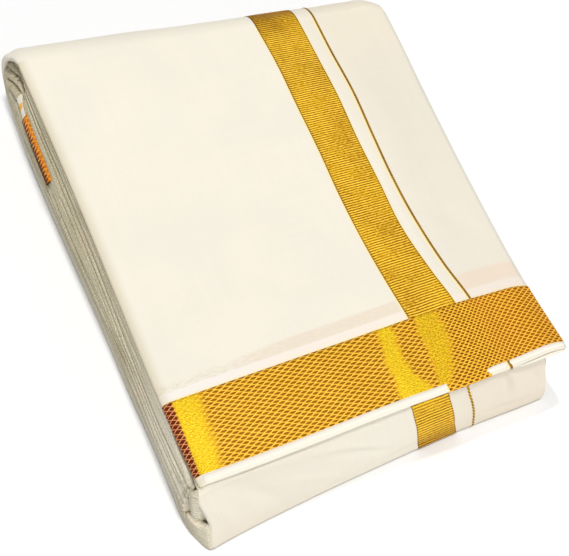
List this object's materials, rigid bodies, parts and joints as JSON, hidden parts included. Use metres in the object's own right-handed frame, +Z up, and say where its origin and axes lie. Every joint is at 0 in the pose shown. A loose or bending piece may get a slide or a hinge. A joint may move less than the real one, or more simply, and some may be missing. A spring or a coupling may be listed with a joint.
{
  "type": "folded dhoti cloth",
  "caption": "Folded cotton dhoti cloth rolled flat into a layered bundle, with a woven gold lattice border across its front edge and a ribbed gold end band running front to back.",
  "frame": {"origin": "Middle of the bundle's footprint, on the surface it lies on.", "axes": "+X runs to the right along the gold border, +Y runs from the front edge to the fold at the back, +Z is up."},
  "size_m": [0.2022, 0.2834, 0.0535],
  "materials": {
    "cotton_field": "cream plain-weave cotton, matt",
    "folded_layers": "cream cotton seen on its folded edges, matt",
    "zari_border": "gold metallic thread woven in a small slanted lattice, low sheen",
    "zari_band": "gold metallic thread in fine cross ribs, glittering",
    "zari_line": "single line of gold metallic thread"
  },
  "bodies": {
    "root": {"top_panel": "cotton_field", "back_fold": "cotton_field", "underside_panel": "cotton_field", "front_fold": "cotton_field", "flap_second_ply": "cotton_field", "inner_folds": "folded_layers", "inner_selvedge_fold": "folded_layers", "zari_border": "zari_border", "inner_border_fold": "zari_border", "end_band_top": "zari_band", "end_band_back": "zari_band", "end_band_front": "zari_band", "end_line_top": "zari_line", "end_line_back": "zari_line", "end_line_front": "zari_line"}
  },
  "joints": []
}
